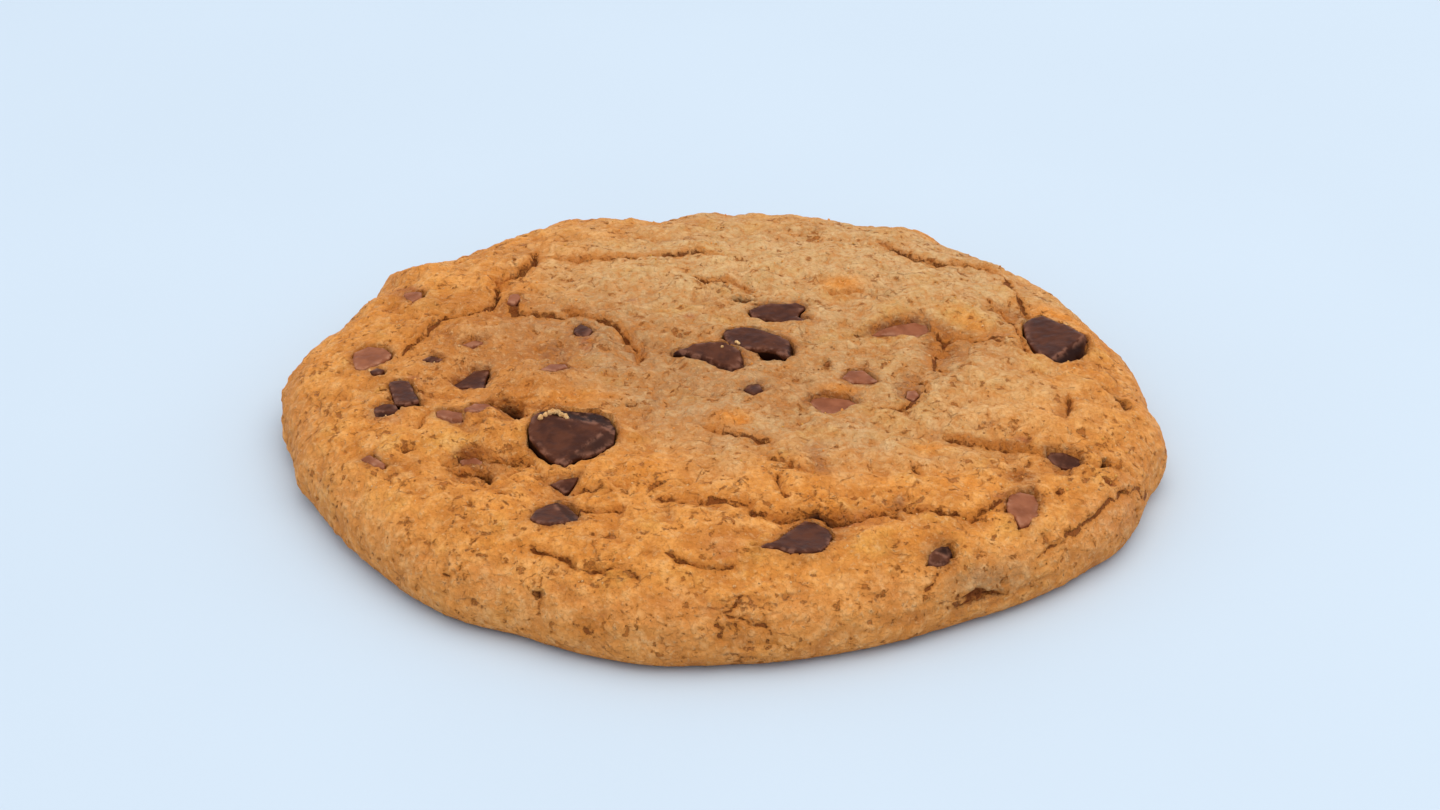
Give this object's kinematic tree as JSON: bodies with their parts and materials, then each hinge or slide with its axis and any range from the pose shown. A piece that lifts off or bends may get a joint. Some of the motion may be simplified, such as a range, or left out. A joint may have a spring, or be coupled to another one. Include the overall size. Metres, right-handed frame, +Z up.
{
  "type": "chocolate chip cookie",
  "caption": "Round soft-baked chocolate chip cookie with a thick rounded rim, folded and cracked top and dark and milk chocolate chunks set in it.",
  "frame": {"origin": "middle of the flat underside, at the bottom centre of the cookie's box", "axes": "+X along the cookie's widest extent, to the right in the picture; +Y away from the picture's camera; +Z up"},
  "size_m": [0.0968, 0.0907, 0.0128],
  "materials": {
    "dough": "matte baked crust, golden brown with a paler middle",
    "dark_chocolate": "satin dark chocolate, slightly dull where it melted",
    "milk_chocolate": "dull milk chocolate"
  },
  "bodies": {
    "root": {"dough": "dough", "chunk_large": "dark_chocolate", "chunk_right": "dark_chocolate", "chunk_middle": "dark_chocolate", "chunk_middle_left": "dark_chocolate", "chunk_back": "dark_chocolate", "chunk_front": "dark_chocolate", "chunk_left_hollow": "dark_chocolate", "bar_left": "dark_chocolate", "chunk_front_left": "dark_chocolate", "nugget_left": "dark_chocolate", "nugget_hollow": "dark_chocolate", "nugget_upper_left": "dark_chocolate", "nugget_pit": "dark_chocolate", "nugget_front_pit": "dark_chocolate", "chunk_milk_front": "milk_chocolate", "chunk_milk_middle": "milk_chocolate", "slab_left_edge": "milk_chocolate", "nugget_back_right": "milk_chocolate", "nugget_valley": "milk_chocolate", "nugget_milk_left": "milk_chocolate", "nugget_milk_ridge": "milk_chocolate", "nugget_milk_right": "milk_chocolate", "nugget_back_left": "milk_chocolate"}
  },
  "joints": []
}
